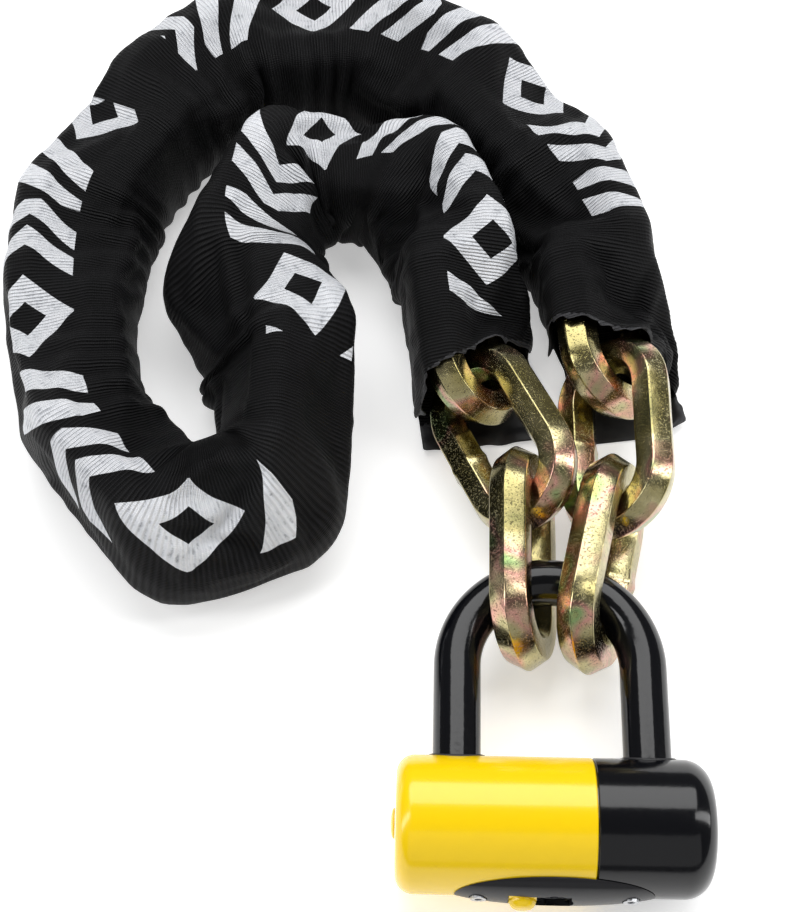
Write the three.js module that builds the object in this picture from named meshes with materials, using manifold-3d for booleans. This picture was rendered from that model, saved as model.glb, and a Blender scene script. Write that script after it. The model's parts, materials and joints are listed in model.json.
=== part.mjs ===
// Chain lock: a hexagonal-bar security chain in a laid fabric sleeve, both of whose end links
// hang on the shackle of a disc-style padlock. Millimetres, +Z up.
// Origin: on the ground under the middle of the lock's shackle. +X runs along the lock body,
// +Y from the body towards the chain.
import * as THREE from "three";
import { mergeVertices } from "three/addons/utils/BufferGeometryUtils.js";
import Module from "manifold-3d";

const wasm = await Module();
wasm.setup();

// ---- driving dimensions ----------------------------------------------------------------------
const GAP = 0.3; // clearance between touching pieces

// chain link: hexagonal bar bent into a long ring
const BAR_FLATS = 12;
const BAR_CORNERS = BAR_FLATS / Math.cos(Math.PI / 6);
const LINK_INNER_WIDTH = 17.6;
const LINK_STRAIGHT = 29.7;
const LINK_BEND = (LINK_INNER_WIDTH + BAR_CORNERS) / 2; // bar centreline radius at each end
const LINK_SIDES = 16; // facets round the two end bends together
const CHAIN_HEIGHT = 23.8; // chain centreline above the ground
const LINK_COUNT = 21;

// fabric sleeve
const SLEEVE_WALL = 0.7;
const SLEEVE_LIFT = 0.1; // its underside above the ground
const SLEEVE_SLACK = 1.2; // room between the links and the fabric
const LEAST_REACH = 11; // the fabric keeps at least this width round a link that stands on edge
const SLEEVE_CORNER = 3.6; // cut across each corner of the section
const MOUTH_REACH = 14; // from the end bend's centre of the first link inside to the open end
const MOUTH_ROOM = 1.5; // extra half width at the two open ends
const GENTLE_BEND = 0.33; // radians between two links that need no bulb at their corner
const BULB_SHIFT = 5; // from the centre of a link's end bend out to the bulb's
const SLEEVE_FLAP = 16; // how far the lower lip reaches beyond the upper one

// lock shackle and body
const LEG_SPACING = 58;
const SHACKLE_DIAMETER = 14.8;
const SHACKLE_BEND = LEG_SPACING / 2;
const BEND_CENTRE_Y = 50.5; // where the straight legs end and the crown begins
const LEG_END_Y = -9;
const LOCK_HEIGHT = 20.6; // body axis above the ground
const SHACKLE_HEIGHT = 21.4; // the legs enter the body a little above its axis
const BODY_RADIUS = 20.6;
const BODY_LEFT = -47.3;
const BODY_RIGHT = 47.3;
const BODY_SIDES = 24;
const YELLOW_ROUNDING = 5.5;
const BLACK_ROUNDING = 8.5;
const COVER_SPLIT_X = 11.7;
const COVER_WALL = 2.4;
const CORE_RADIUS = BODY_RADIUS - COVER_WALL - GAP;

// key side of the lock: everything here is round the keyhole axis, which runs along Y
const PLATE_DOME = [35, 5, 10.5]; // semi-axes; the lock body hides the dome's back and its two tips
const PLATE_FACE_Y = -23.2;
const CYLINDER_RADIUS = 10;
const PLUG_RADIUS = 7;
const DISC_RADIUS = 5.5;
const DISC_COUNT = 5;
const BOLT_RADIUS = 4;
const BOLT_Y = -2;
const BOLT_TRAVEL = 3;
const CAM_SHORT = 6.9;
const CAM_LONG = 9.9;
const CAM_TOP_Y = 2.5;
const SCREW_HEAD = 2.4;
const SCREW_SHANK = 1.6;
const SCREW_SEAT_Y = -21.4; // under the screw heads
const SCREW_TIP_Y = -13;
const SLIDER_X = -9.5; // open: the tongue stands beside the keyhole
const SLIDER_TRAVEL = 9.5;
const SLIDER_HALF_LENGTH = 4.2;
const SLIDER_HALF_HEIGHT = 4.4;
const SLIDER_DEPTH = 1.6;

// details shared between the lock's pieces
const SEAL_RADIUS = 8.8;
const SEAL_BOTTOM_Y = 13.5;
const PIN_X = 40.6; // of the two pins that hold the covers on the core

// where the end links hang on the shackle
const RIGHT_HOOK_X = 15;
const HOOK_HEIGHT = SHACKLE_HEIGHT + 0.35;
const HOOK_SLACK = 3.5; // the bar sits this far inside the bend of the link

// ---- small helpers -----------------------------------------------------------------------------
const vec = (x, y, z = 0) => new THREE.Vector3(x, y, z);
const rad = THREE.MathUtils.degToRad;

function solidOf(geometry) {
  const plain = geometry.index ? geometry.toNonIndexed() : geometry.clone();
  plain.deleteAttribute("normal");
  plain.deleteAttribute("uv");
  const merged = mergeVertices(plain, 1e-4);
  return new wasm.Manifold(
    new wasm.Mesh({
      numProp: 3,
      vertProperties: merged.attributes.position.array,
      triVerts: new Uint32Array(merged.index.array),
    }),
  );
}

function geometryOf(manifold) {
  const mesh = manifold.getMesh();
  return new THREE.BufferGeometry()
    .setAttribute("position", new THREE.BufferAttribute(mesh.vertProperties, mesh.numProp))
    .setIndex(new THREE.BufferAttribute(mesh.triVerts, 1));
}

const cut = (body, ...tools) =>
  geometryOf(tools.reduce((rest, tool) => rest.subtract(solidOf(tool)), solidOf(body)));

const join = (body, ...others) =>
  geometryOf(others.reduce((sum, other) => sum.add(solidOf(other)), solidOf(body)));

// A round bar along Y from y0 to y1, through (x, z).
function barY(radius, y0, y1, x = 0, z = LOCK_HEIGHT, sides = 20) {
  return new THREE.CylinderGeometry(radius, radius, y1 - y0, sides).translate(x, (y0 + y1) / 2, z);
}

// A round bar along X from x0 to x1, through (y, z).
function barX(radius, x0, x1, y = 0, z = LOCK_HEIGHT, sides = 16) {
  return new THREE.CylinderGeometry(radius, radius, x1 - x0, sides)
    .rotateZ(Math.PI / 2)
    .translate((x0 + x1) / 2, y, z);
}

function box(x0, x1, y0, y1, z0, z1) {
  return new THREE.BoxGeometry(x1 - x0, y1 - y0, z1 - z0).translate(
    (x0 + x1) / 2,
    (y0 + y1) / 2,
    (z0 + z1) / 2,
  );
}

// A body turned about the lock's X axis from (x, radius) points, with a facet facing the ground.
function turnedX(points) {
  const facet = Math.cos(Math.PI / BODY_SIDES);
  const outline = points.map(([x, radius]) => new THREE.Vector2(radius / facet, x));
  return new THREE.LatheGeometry(outline, BODY_SIDES, Math.PI / BODY_SIDES)
    .rotateZ(-Math.PI / 2)
    .translate(0, 0, LOCK_HEIGHT);
}

const material = (color, roughness, metalness) =>
  new THREE.MeshStandardMaterial({ color, roughness, metalness });

const zinc = material(0xa8965a, 0.3, 0.9);
const steel = material(0x9a9ca0, 0.35, 0.95);
const brass = material(0xb8963c, 0.35, 0.9);
const blackVinyl = material(0x0b0c10, 0.12, 0);
const yellowPlastic = material(0xffdd00, 0.2, 0);
const blackRubber = material(0x111113, 0.6, 0);
const sleeveFabric = material(0x0e0e10, 0.85, 0);

const model = new THREE.Group();

function piece(name, geometry, look, parent = model) {
  const mesh = new THREE.Mesh(geometry, look);
  mesh.name = name;
  parent.add(mesh);
  return mesh;
}

// ---- chain ---------------------------------------------------------------------------------------
// A ring of the hexagonal bar, stretched along X: its plane is XZ and its normal Y.
function linkGeometry() {
  const facet = Math.cos(Math.PI / LINK_SIDES);
  const outline = [];
  for (let corner = 0; corner <= 6; corner += 1) {
    const angle = (corner * Math.PI) / 3;
    const radial = LINK_BEND + (BAR_CORNERS / 2) * Math.cos(angle);
    outline.push(new THREE.Vector2(radial / facet, (BAR_CORNERS / 2) * Math.sin(angle)));
  }
  outline[6].copy(outline[0]);
  const ring = new THREE.LatheGeometry(outline, LINK_SIDES, Math.PI / LINK_SIDES);
  const place = ring.attributes.position;
  for (let i = 0; i < place.count; i += 1) {
    place.setX(i, place.getX(i) + (Math.sign(place.getX(i)) * LINK_STRAIGHT) / 2);
  }
  return ring;
}

// Laid centreline of the sleeved run, from the right-hand mouth round to the left-hand one.
const LAY = [
  [25, 147], [23, 165], [19, 195], [9, 230], [-10, 262], [-38, 287], [-70, 298],
  [-102, 295], [-130, 275], [-152, 249], [-165, 214], [-164, 176], [-157, 138],
  [-138, 111], [-110, 100], [-89, 110], [-82, 132], [-95, 162], [-108, 188],
  [-110, 211], [-97, 231], [-70, 235], [-45, 227], [-32, 205], [-26, 176], [-23, 148],
].map(([x, y]) => vec(x, y, CHAIN_HEIGHT));
const layCurve = new THREE.CatmullRomCurve3(LAY, false, "centripetal");
layCurve.arcLengthDivisions = 1200;

// How far each link is rolled about its own length, in degrees: 0 lies flat, 90 stands on edge.
// The chain carries a quarter turn, taken up in the lower left bend.
const SLEEVED_ROLLS = [-44, 44];
const TWIST_START = 11;
const TWIST_STEPS = [12, 24, 42, 60, 76, 90];

function rollOf(number) {
  const ends = { 1: -70, 2: 44, 20: 137, 21: 71 };
  if (ends[number]) return ends[number];
  const step = Math.min(number - TWIST_START, TWIST_STEPS.length);
  return SLEEVED_ROLLS[(number + 1) % 2] + (step > 0 ? TWIST_STEPS[step - 1] : 0);
}

// Links that climb by a set angle, in degrees, instead of levelling the chain.
const SET_RISES = { 16: 0, 20: 12 };

// Direction of travel, turned left from +Y and rising by the given angles.
const headingOf = (turn, rise) =>
  vec(-Math.sin(turn) * Math.cos(rise), Math.cos(turn) * Math.cos(rise), Math.sin(rise));

function normalOf(turn, rise, roll) {
  const side = vec(Math.cos(turn), Math.sin(turn), 0);
  const up = side.clone().cross(headingOf(turn, rise));
  return up.multiplyScalar(Math.cos(roll)).addScaledVector(side, -Math.sin(roll));
}

// A link whose near bend is centred on `near`.
function linkFrom(near, turn, rise, roll) {
  const along = headingOf(turn, rise);
  return {
    near,
    far: near.clone().addScaledVector(along, LINK_STRAIGHT),
    along,
    normal: normalOf(turn, rise, roll),
    turn,
  };
}

// The next link: its near bend is centred on the bar of the last one, and the other way round.
// It tilts enough to bring the chain back to its height, unless its rise is set.
function nextLink(last, turn, number) {
  const roll = rad(rollOf(number));
  const normal = normalOf(turn, 0, roll);
  const across = last.normal.clone().cross(normal).normalize();
  if (across.dot(last.along) < 0) across.negate();
  const near = last.far.clone().addScaledVector(across, LINK_BEND);
  const drift = (near.z + last.far.z) / 2 - CHAIN_HEIGHT;
  const levelling = (-0.8 * drift) / LINK_STRAIGHT;
  const rise = number in SET_RISES ? rad(SET_RISES[number]) : levelling;
  return linkFrom(near, turn, rise, roll);
}

const flatDistance = (a, b) => Math.hypot(a.x - b.x, a.y - b.y);

// How far a point lies to the left of the laid centreline.
function leftOfLay(point, samples) {
  let best = 0;
  samples.forEach((sample, i) => {
    if (flatDistance(sample, point) < flatDistance(samples[best], point)) best = i;
  });
  const ahead = samples[Math.min(best + 1, samples.length - 1)];
  const behind = samples[Math.max(best - 1, 0)];
  const run = ahead.clone().sub(behind).setZ(0).normalize();
  const offset = point.clone().sub(samples[best]);
  return run.x * offset.y - run.y * offset.x;
}

// The turn that brings the next link's far end onto the laid centreline, by halving.
function turnOntoLay(last, number, samples) {
  let right = last.turn - 1.25;
  let left = last.turn + 1.25;
  for (let i = 0; i < 24; i += 1) {
    const middle = (left + right) / 2;
    if (leftOfLay(nextLink(last, middle, number).far, samples) > 0) left = middle;
    else right = middle;
  }
  return (left + right) / 2;
}

// Links from the right-hand one on the shackle round to the left-hand one.
function layChain() {
  const samples = layCurve.getSpacedPoints(900);
  const crown = vec(RIGHT_HOOK_X, 0, HOOK_HEIGHT);
  crown.y = BEND_CENTRE_Y + Math.sqrt(SHACKLE_BEND ** 2 - crown.x ** 2);
  const lean = rad(-12);
  const first = crown.addScaledVector(headingOf(lean, 0), -HOOK_SLACK);
  const links = [linkFrom(first, lean, rad(2.5), rad(rollOf(1)))];
  links.push(nextLink(links[0], rad(0.5), 2));
  let reached = 0;
  while (links.length < LINK_COUNT - 2) {
    const last = links[links.length - 1];
    const number = links.length + 1;
    const ahead = samples.slice(reached, reached + 150);
    const next = nextLink(last, turnOntoLay(last, number, ahead), number);
    links.push(next);
    const distances = ahead.map((sample) => flatDistance(sample, next.far));
    reached += distances.indexOf(Math.min(...distances));
  }
  links.push(nextLink(links[links.length - 1], rad(204), LINK_COUNT - 1));
  const { near } = nextLink(links[links.length - 1], rad(180), LINK_COUNT);
  const rise = Math.asin((HOOK_HEIGHT - near.z) / LINK_STRAIGHT);
  links.push(linkFrom(near, rad(180), rise, rad(rollOf(LINK_COUNT))));
  return links;
}

const links = layChain();
links.forEach((link, i) => {
  const name = `link_${String(i + 1).padStart(2, "0")}`;
  const mesh = piece(name, linkGeometry(), zinc);
  mesh.quaternion.setFromRotationMatrix(
    new THREE.Matrix4().makeBasis(link.along, link.normal, link.along.clone().cross(link.normal)),
  );
  mesh.position.copy(link.near).addScaledVector(link.along, LINK_STRAIGHT / 2);
});

// ---- sleeve ---------------------------------------------------------------------------------------
// The fabric tube is one straight stretch round each link inside it, with a rounded bulb at each
// corner between them. Its underside lies on the ground.
const middleOf = (a, b) => a.clone().add(b).multiplyScalar(0.5);

// Half width and top of the fabric's inside round one link.
function roomFor(link, number) {
  const roll = rad(rollOf(number));
  const bar = BAR_CORNERS / 2 + SLEEVE_SLACK;
  const tilt = Math.abs(link.far.z - link.near.z) * 0.75;
  const mouthRoom = number === 3 || number === LINK_COUNT - 2 ? MOUTH_ROOM : 0;
  return {
    halfWidth: Math.max(LINK_BEND * Math.abs(Math.cos(roll)), LEAST_REACH) + bar + mouthRoom,
    top: middleOf(link.near, link.far).z + LINK_BEND * Math.abs(Math.sin(roll)) + bar + tilt,
  };
}

// Closed eight-sided outline of the fabric's section as [sideways, height] pairs.
function sectionOf(room, wall) {
  const w = room.halfWidth + wall;
  const low = SLEEVE_LIFT + SLEEVE_WALL - wall;
  const high = room.top + wall;
  const c = SLEEVE_CORNER;
  return [
    [w, low + c], [w, high - c], [w - c, high], [c - w, high],
    [-w, high - c], [-w, low + c], [c - w, low], [w - c, low],
  ];
}

function stretchBetween(from, to, room, wall) {
  const start = from.clone().setZ(0);
  const along = to.clone().setZ(0).sub(start);
  const outline = new THREE.Shape(
    sectionOf(room, wall).map(([across, height]) => new THREE.Vector2(across, height)),
  );
  const prism = new THREE.ExtrudeGeometry(outline, { depth: along.length(), bevelEnabled: false });
  const up = vec(0, 0, 1);
  along.normalize();
  const place = new THREE.Matrix4().makeBasis(up.clone().cross(along), up, along);
  return prism.applyMatrix4(place.setPosition(start));
}

function bulbAt(point, room, wall) {
  const outline = sectionOf(room, wall).filter(([across]) => across > 0);
  const ordered = [outline[3], outline[0], outline[1], outline[2]];
  const profile = [[0, ordered[0][1]], ...ordered, [0, ordered[3][1]]];
  return new THREE.LatheGeometry(profile.map(([r, h]) => new THREE.Vector2(r, h)), 16)
    .rotateX(Math.PI / 2)
    .translate(point.x, point.y, 0);
}

function sleeveSolid(wall, mouthReach) {
  const pieces = [];
  const last = LINK_COUNT - 3;
  for (let i = 2; i <= last; i += 1) {
    const link = links[i];
    const room = roomFor(link, i + 1);
    const along = link.along.clone().setZ(0).normalize();
    const ends = [
      { point: link.near, outwards: along.clone().negate(), next: links[i - 1], mouth: i === 2 },
      { point: link.far, outwards: along, next: links[i + 1], mouth: i === last },
    ].map(({ point, outwards, next, mouth }) => {
      const corner = !mouth && link.along.angleTo(next.along) > GENTLE_BEND;
      const reach = mouth ? MOUTH_REACH + mouthReach : LINK_BEND + BAR_CORNERS / 2 + 1;
      const end = point.clone().addScaledVector(outwards, corner ? BULB_SHIFT : reach);
      if (corner) pieces.push(bulbAt(end, room, wall));
      return end;
    });
    pieces.push(stretchBetween(ends[0], ends[1], room, wall));
  }
  return pieces.map(solidOf).reduce((sum, next) => sum.add(next));
}

// The lower lip of a mouth: a flat tongue on the ground.
function mouthFlap(point, outwards) {
  const length = MOUTH_REACH + SLEEVE_FLAP + 5;
  const tongue = new THREE.BoxGeometry(26, length, SLEEVE_WALL - 0.1)
    .translate(0, length / 2 - 5, SLEEVE_LIFT + SLEEVE_WALL / 2);
  const turn = Math.atan2(outwards.y, outwards.x) - Math.PI / 2;
  return solidOf(tongue.rotateZ(turn).translate(point.x, point.y, 0));
}

function sleeveGeometry() {
  const skin = sleeveSolid(SLEEVE_WALL, 0).subtract(sleeveSolid(0, 3));
  const first = links[2];
  const last = links[LINK_COUNT - 3];
  return geometryOf(
    skin
      .add(mouthFlap(first.near, first.along.clone().negate()))
      .add(mouthFlap(last.far, last.along)),
  );
}

piece("sleeve", sleeveGeometry(), sleeveFabric);

// ---- shackle --------------------------------------------------------------------------------------
function shackleGeometry() {
  const route = [];
  for (const y of [LEG_END_Y, 6, 21, 36]) route.push(vec(-SHACKLE_BEND, y, SHACKLE_HEIGHT));
  for (let angle = 180; angle >= 0; angle -= 15) {
    route.push(
      vec(
        SHACKLE_BEND * Math.cos(rad(angle)),
        BEND_CENTRE_Y + SHACKLE_BEND * Math.sin(rad(angle)),
        SHACKLE_HEIGHT,
      ),
    );
  }
  for (const y of [36, 21, 6, LEG_END_Y]) route.push(vec(SHACKLE_BEND, y, SHACKLE_HEIGHT));
  const round = new THREE.Shape().absarc(0, 0, SHACKLE_DIAMETER / 2, 0, 2 * Math.PI);
  const bar = new THREE.ExtrudeGeometry(round, {
    steps: 44,
    curveSegments: 8,
    extrudePath: new THREE.CatmullRomCurve3(route, false, "centripetal"),
  });
  const notch = BOLT_RADIUS + GAP;
  const reach = SHACKLE_BEND - SHACKLE_DIAMETER / 2 + BOLT_TRAVEL + 0.7;
  return cut(bar, barX(notch, -reach, reach, BOLT_Y));
}

piece("shackle", shackleGeometry(), blackVinyl);

// ---- lock body ------------------------------------------------------------------------------------
// The covers' outline from one end to the other, inside or outside the wall.
function bodyOutline(left, right, radius, rounding) {
  const corner = [90, 60, 30, 0].map((angle) => [
    left + rounding * (1 - Math.sin(rad(angle))),
    radius - rounding * (1 - Math.cos(rad(angle))),
  ]);
  return [[left, 0], ...corner, [right, radius], [right, 0]];
}

function capShell(end, split, rounding, screwX) {
  const facing = Math.sign(split - end);
  const outline = bodyOutline(0, Math.abs(split - end), BODY_RADIUS, rounding);
  const hollow = bodyOutline(
    COVER_WALL,
    Math.abs(split - end) + 1,
    BODY_RADIUS - COVER_WALL,
    rounding - COVER_WALL,
  );
  const turn = (points) => {
    const made = turnedX(points);
    if (facing < 0) made.rotateZ(Math.PI);
    return made.translate(end, 0, 0);
  };
  const leg = barY(SEAL_RADIUS + GAP, 5, 30, -facing * SHACKLE_BEND, SHACKLE_HEIGHT, 24);
  const cylinderHole = barY(CYLINDER_RADIUS + GAP, -30, -5, 0, LOCK_HEIGHT, 24);
  const body = cut(turn(outline), turn(hollow), leg, screwBore(screwX));
  return facing > 0 ? cut(body, cylinderHole) : body;
}

const screwXs = { plate_screw_left: -22.5, plate_screw_right: 22.5 };
const screwBore = (x) => barY(SCREW_SHANK + GAP, -30, SCREW_TIP_Y + GAP, x, LOCK_HEIGHT, 12);

piece("yellow_cover", capShell(
  BODY_LEFT, COVER_SPLIT_X - GAP / 2, YELLOW_ROUNDING, screwXs.plate_screw_left,
), yellowPlastic);
piece("black_cover", capShell(
  BODY_RIGHT, COVER_SPLIT_X + GAP / 2, BLACK_ROUNDING, screwXs.plate_screw_right,
), blackVinyl);

function coreGeometry() {
  const left = BODY_LEFT + COVER_WALL + GAP;
  const right = BODY_RIGHT - COVER_WALL - GAP;
  const bar = turnedX([
    [left, 0], [left, CORE_RADIUS - 5], [left + 5, CORE_RADIUS],
    [right - 5, CORE_RADIUS], [right, CORE_RADIUS - 5], [right, 0],
  ]);
  const legBore = (x) => barY(SHACKLE_DIAMETER / 2 + GAP, LEG_END_Y - 1, 30, x, SHACKLE_HEIGHT, 24);
  const sealSeat = (x) => barY(SEAL_RADIUS + GAP, SEAL_BOTTOM_Y - GAP, 30, x, SHACKLE_HEIGHT, 24);
  return cut(
    bar,
    legBore(-SHACKLE_BEND),
    legBore(SHACKLE_BEND),
    sealSeat(-SHACKLE_BEND),
    sealSeat(SHACKLE_BEND),
    barX(BOLT_RADIUS + GAP, -SHACKLE_BEND, SHACKLE_BEND, BOLT_Y),
    barY(CYLINDER_RADIUS + GAP, -30, CAM_TOP_Y + GAP, 0, LOCK_HEIGHT, 24),
    box(-PIN_X - 2.3, -PIN_X + 2.3, -2.3, 2.3, 0, 50),
    box(PIN_X - 2.3, PIN_X + 2.3, -2.3, 2.3, 0, 50),
    ...Object.values(screwXs).map(screwBore),
  );
}

piece("lock_core", coreGeometry(), steel);

for (const [name, x] of [["core_pin_left", -PIN_X], ["core_pin_right", PIN_X]]) {
  const half = CORE_RADIUS - 2;
  piece(name, box(x - 2, x + 2, -2, 2, LOCK_HEIGHT - half, LOCK_HEIGHT + half), steel);
}

// A rubber ring round each leg. Its face follows the curve of the cover and stands a little proud.
function sealGeometry(x) {
  const ring = barY(SEAL_RADIUS, SEAL_BOTTOM_Y, BODY_RADIUS + 2, x, SHACKLE_HEIGHT, 24);
  const surface = barX(BODY_RADIUS + 0.4, -70, 70, 0, LOCK_HEIGHT, 48);
  const outside = cut(box(-60, 60, 0, 40, -10, 60), surface);
  return cut(ring, outside, barY(SHACKLE_DIAMETER / 2 + GAP / 2, 0, 40, x, SHACKLE_HEIGHT, 24));
}

piece("shackle_seal_left", sealGeometry(-SHACKLE_BEND), blackRubber);
piece("shackle_seal_right", sealGeometry(SHACKLE_BEND), blackRubber);

// A shallow domed plug in the yellow end face.
function endPlugGeometry() {
  const dome = [[0, 0], [0, 4.6], [-1, 3.6], [-1.5, 0]];
  const facets = 16;
  const outline = dome.map(([x, radius]) => new THREE.Vector2(radius, -x));
  return new THREE.LatheGeometry(outline, facets)
    .rotateZ(Math.PI / 2)
    .translate(BODY_LEFT - GAP, 0, LOCK_HEIGHT);
}

piece("end_plug", endPlugGeometry(), yellowPlastic);

// ---- key side ---------------------------------------------------------------------------------------
function ovalAlongY(halfWidth, halfHeight, y0, y1, sides = 32) {
  return new THREE.CylinderGeometry(1, 1, y1 - y0, sides)
    .scale(halfWidth, 1, halfHeight)
    .translate(0, (y0 + y1) / 2, LOCK_HEIGHT);
}

function keyPlateGeometry() {
  const plate = new THREE.SphereGeometry(1, 48, 24)
    .scale(...PLATE_DOME)
    .translate(0, PLATE_FACE_Y + PLATE_DOME[1], LOCK_HEIGHT);
  const facet = Math.cos(Math.PI / BODY_SIDES);
  const lockBody = barX(BODY_RADIUS / facet + GAP, -60, 60, 0, LOCK_HEIGHT, 48);
  const seats = Object.values(screwXs).map((x) => barY(SCREW_HEAD + GAP, -30, SCREW_SEAT_Y, x));
  const slot = box(
    SLIDER_X - SLIDER_HALF_LENGTH - GAP,
    SLIDER_X + SLIDER_HALF_LENGTH + SLIDER_TRAVEL + 2 * GAP,
    PLATE_FACE_Y - 1,
    PLATE_FACE_Y + SLIDER_DEPTH + GAP,
    LOCK_HEIGHT - SLIDER_HALF_HEIGHT - GAP,
    LOCK_HEIGHT + SLIDER_HALF_HEIGHT + GAP,
  );
  const keyHole = barY(PLUG_RADIUS + GAP, PLATE_FACE_Y + 2.4, -10);
  const keyWindow = barY(DISC_RADIUS, -30, -10);
  const bores = Object.values(screwXs).map(screwBore);
  return cut(plate, lockBody, slot, keyHole, keyWindow, ...seats, ...bores);
}

piece("key_plate", keyPlateGeometry(), blackVinyl);

function sliderGeometry() {
  const tongue = box(
    SLIDER_X - SLIDER_HALF_LENGTH,
    SLIDER_X + SLIDER_HALF_LENGTH,
    PLATE_FACE_Y,
    PLATE_FACE_Y + SLIDER_DEPTH,
    LOCK_HEIGHT - SLIDER_HALF_HEIGHT,
    LOCK_HEIGHT + SLIDER_HALF_HEIGHT,
  );
  const grip = ovalAlongY(4.2, 3.8, PLATE_FACE_Y - 1.8, PLATE_FACE_Y + 0.5, 20);
  return join(tongue, grip.translate(SLIDER_X, 0, 0));
}

piece("keyhole_slider", sliderGeometry(), yellowPlastic);

for (const [name, x] of Object.entries(screwXs)) {
  const head = barY(SCREW_HEAD, SCREW_SEAT_Y - 1, SCREW_SEAT_Y - 0.1, x);
  const shank = barY(SCREW_SHANK, SCREW_SEAT_Y - 0.1, SCREW_TIP_Y, x, LOCK_HEIGHT, 12);
  const recess = new THREE.CylinderGeometry(1.2, 1.2, 1.4, 6)
    .translate(x, SCREW_SEAT_Y - 1.1, LOCK_HEIGHT);
  piece(name, cut(join(head, shank), recess), steel);
}

// Keyway through the plug's parts: a slot as wide and as tall as a flat key.
const keyway = (y0, y1) => box(-1.2, 1.2, y0, y1, LOCK_HEIGHT - 3.6, LOCK_HEIGHT + 3.6);

piece("anti_drill_disc", cut(
  barY(PLUG_RADIUS, -20.5, -18.6, 0, LOCK_HEIGHT, 24), keyway(-22, -17),
), steel);

piece("cylinder_housing", cut(
  barY(CYLINDER_RADIUS, -18.3, -7.6, 0, LOCK_HEIGHT, 24),
  barY(PLUG_RADIUS + GAP, -30, 0, 0, LOCK_HEIGHT, 24),
), brass);

// The plug is a carrier tube for the discs, closed at its inner end.
piece("cylinder_plug", cut(
  barY(PLUG_RADIUS, -18.3, -7.2, 0, LOCK_HEIGHT, 24),
  barY(DISC_RADIUS + GAP, -30, -9, 0, LOCK_HEIGHT, 20),
  box(-1.3, 1.3, -30, -9, LOCK_HEIGHT, LOCK_HEIGHT + 10),
), brass);

for (let i = 0; i < DISC_COUNT; i += 1) {
  const y = -18.1 + 1.8 * i;
  piece(`detainer_disc_${i + 1}`, cut(
    barY(DISC_RADIUS, y, y + 1.5), keyway(y - 1, y + 3),
  ), steel);
}

piece("sidebar", box(-1, 1, -18.1, -9.4, LOCK_HEIGHT + 5.8, LOCK_HEIGHT + 6.9), steel);

// An oval cam behind the plug: its long sides push the two bolts apart as the key turns.
piece("drive_cam", new THREE.CylinderGeometry(1, 1, CAM_TOP_Y + 6.9, 32)
  .scale(CAM_SHORT, 1, CAM_LONG)
  .translate(0, (CAM_TOP_Y - 6.9) / 2, LOCK_HEIGHT), steel);

const boltInner = CAM_SHORT + 0.5;
const boltOuter = SHACKLE_BEND - SHACKLE_DIAMETER / 2 - GAP;
piece("bolt_left", barX(BOLT_RADIUS, -boltOuter, -boltInner, BOLT_Y), steel);
piece("bolt_right", barX(BOLT_RADIUS, boltInner, boltOuter, BOLT_Y), steel);

export default model;
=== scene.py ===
import json
import math

import bmesh
import bpy
import numpy as np
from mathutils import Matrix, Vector, noise


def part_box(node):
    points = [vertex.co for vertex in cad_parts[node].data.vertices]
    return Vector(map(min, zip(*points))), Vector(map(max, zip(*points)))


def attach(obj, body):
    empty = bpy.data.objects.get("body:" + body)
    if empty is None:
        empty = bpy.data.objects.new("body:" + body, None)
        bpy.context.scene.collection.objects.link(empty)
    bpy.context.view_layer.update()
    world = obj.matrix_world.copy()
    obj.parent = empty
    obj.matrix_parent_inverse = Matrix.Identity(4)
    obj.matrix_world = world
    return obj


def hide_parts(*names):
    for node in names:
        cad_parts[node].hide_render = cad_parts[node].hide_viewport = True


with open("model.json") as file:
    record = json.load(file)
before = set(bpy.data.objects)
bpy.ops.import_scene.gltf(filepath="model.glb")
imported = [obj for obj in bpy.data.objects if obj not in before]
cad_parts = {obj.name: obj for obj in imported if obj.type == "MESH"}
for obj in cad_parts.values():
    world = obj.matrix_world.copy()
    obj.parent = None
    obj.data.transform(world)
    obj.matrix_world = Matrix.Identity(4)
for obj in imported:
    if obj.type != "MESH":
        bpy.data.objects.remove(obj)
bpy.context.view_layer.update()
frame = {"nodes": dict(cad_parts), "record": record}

# A chain lock: a hexagonal-bar chain in a printed fabric sleeve, hung on the shackle of a barrel lock.
# Metres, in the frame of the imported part: +X along the lock body, +Y towards the chain, +Z up.

MM = 0.001
NODES = frame["nodes"]
TURN = 2 * math.pi


# ---- places read from the frame ------------------------------------------------------------------
def middle(node):
    low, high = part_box(node)
    return (low + high) / 2


def size(node):
    low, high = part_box(node)
    return high - low


BODY_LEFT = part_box("yellow_cover")[0].x
BODY_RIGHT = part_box("black_cover")[1].x
SPLIT_X = (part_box("yellow_cover")[1].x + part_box("black_cover")[0].x) / 2
BODY_AXIS_Z = middle("cylinder_plug").z
BODY_RADIUS = BODY_AXIS_Z
BAR_RADIUS = size("shackle").z / 2
SHACKLE_Z = middle("shackle").z
LEG_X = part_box("shackle")[1].x - BAR_RADIUS
LEG_END_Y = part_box("shackle")[0].y
CROWN_CENTRE_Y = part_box("shackle")[1].y - BAR_RADIUS - LEG_X
SEAL_RADIUS = size("shackle_seal_left").x / 2
SEAL_BOTTOM_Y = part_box("shackle_seal_left")[0].y
PLATE_FACE_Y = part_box("key_plate")[0].y
PLATE_DOME = Vector((35, 5, 10.5)) * MM  # semi-axes; the barrel hides its back and its two tips
BOLT_RADIUS = size("bolt_left").z / 2
BOLT_Y = middle("bolt_left").y


class LinkFrame:
    """Where a chain link lies: its centre, its length direction and the normal of its ring."""

    def __init__(self, node):
        points = np.array([v.co for v in NODES[node].data.vertices], float)
        self.centre = (points.max(0) + points.min(0)) / 2
        axes = np.linalg.eigh(np.cov((points - points.mean(0)).T))[1]
        self.normal = axes[:, 0]
        self.along = axes[:, 2]
        reach = np.abs((points - self.centre) @ axes).max(0)
        self.bar = reach[0]
        self.half_width = reach[1]
        self.half_length = reach[2]


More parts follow.
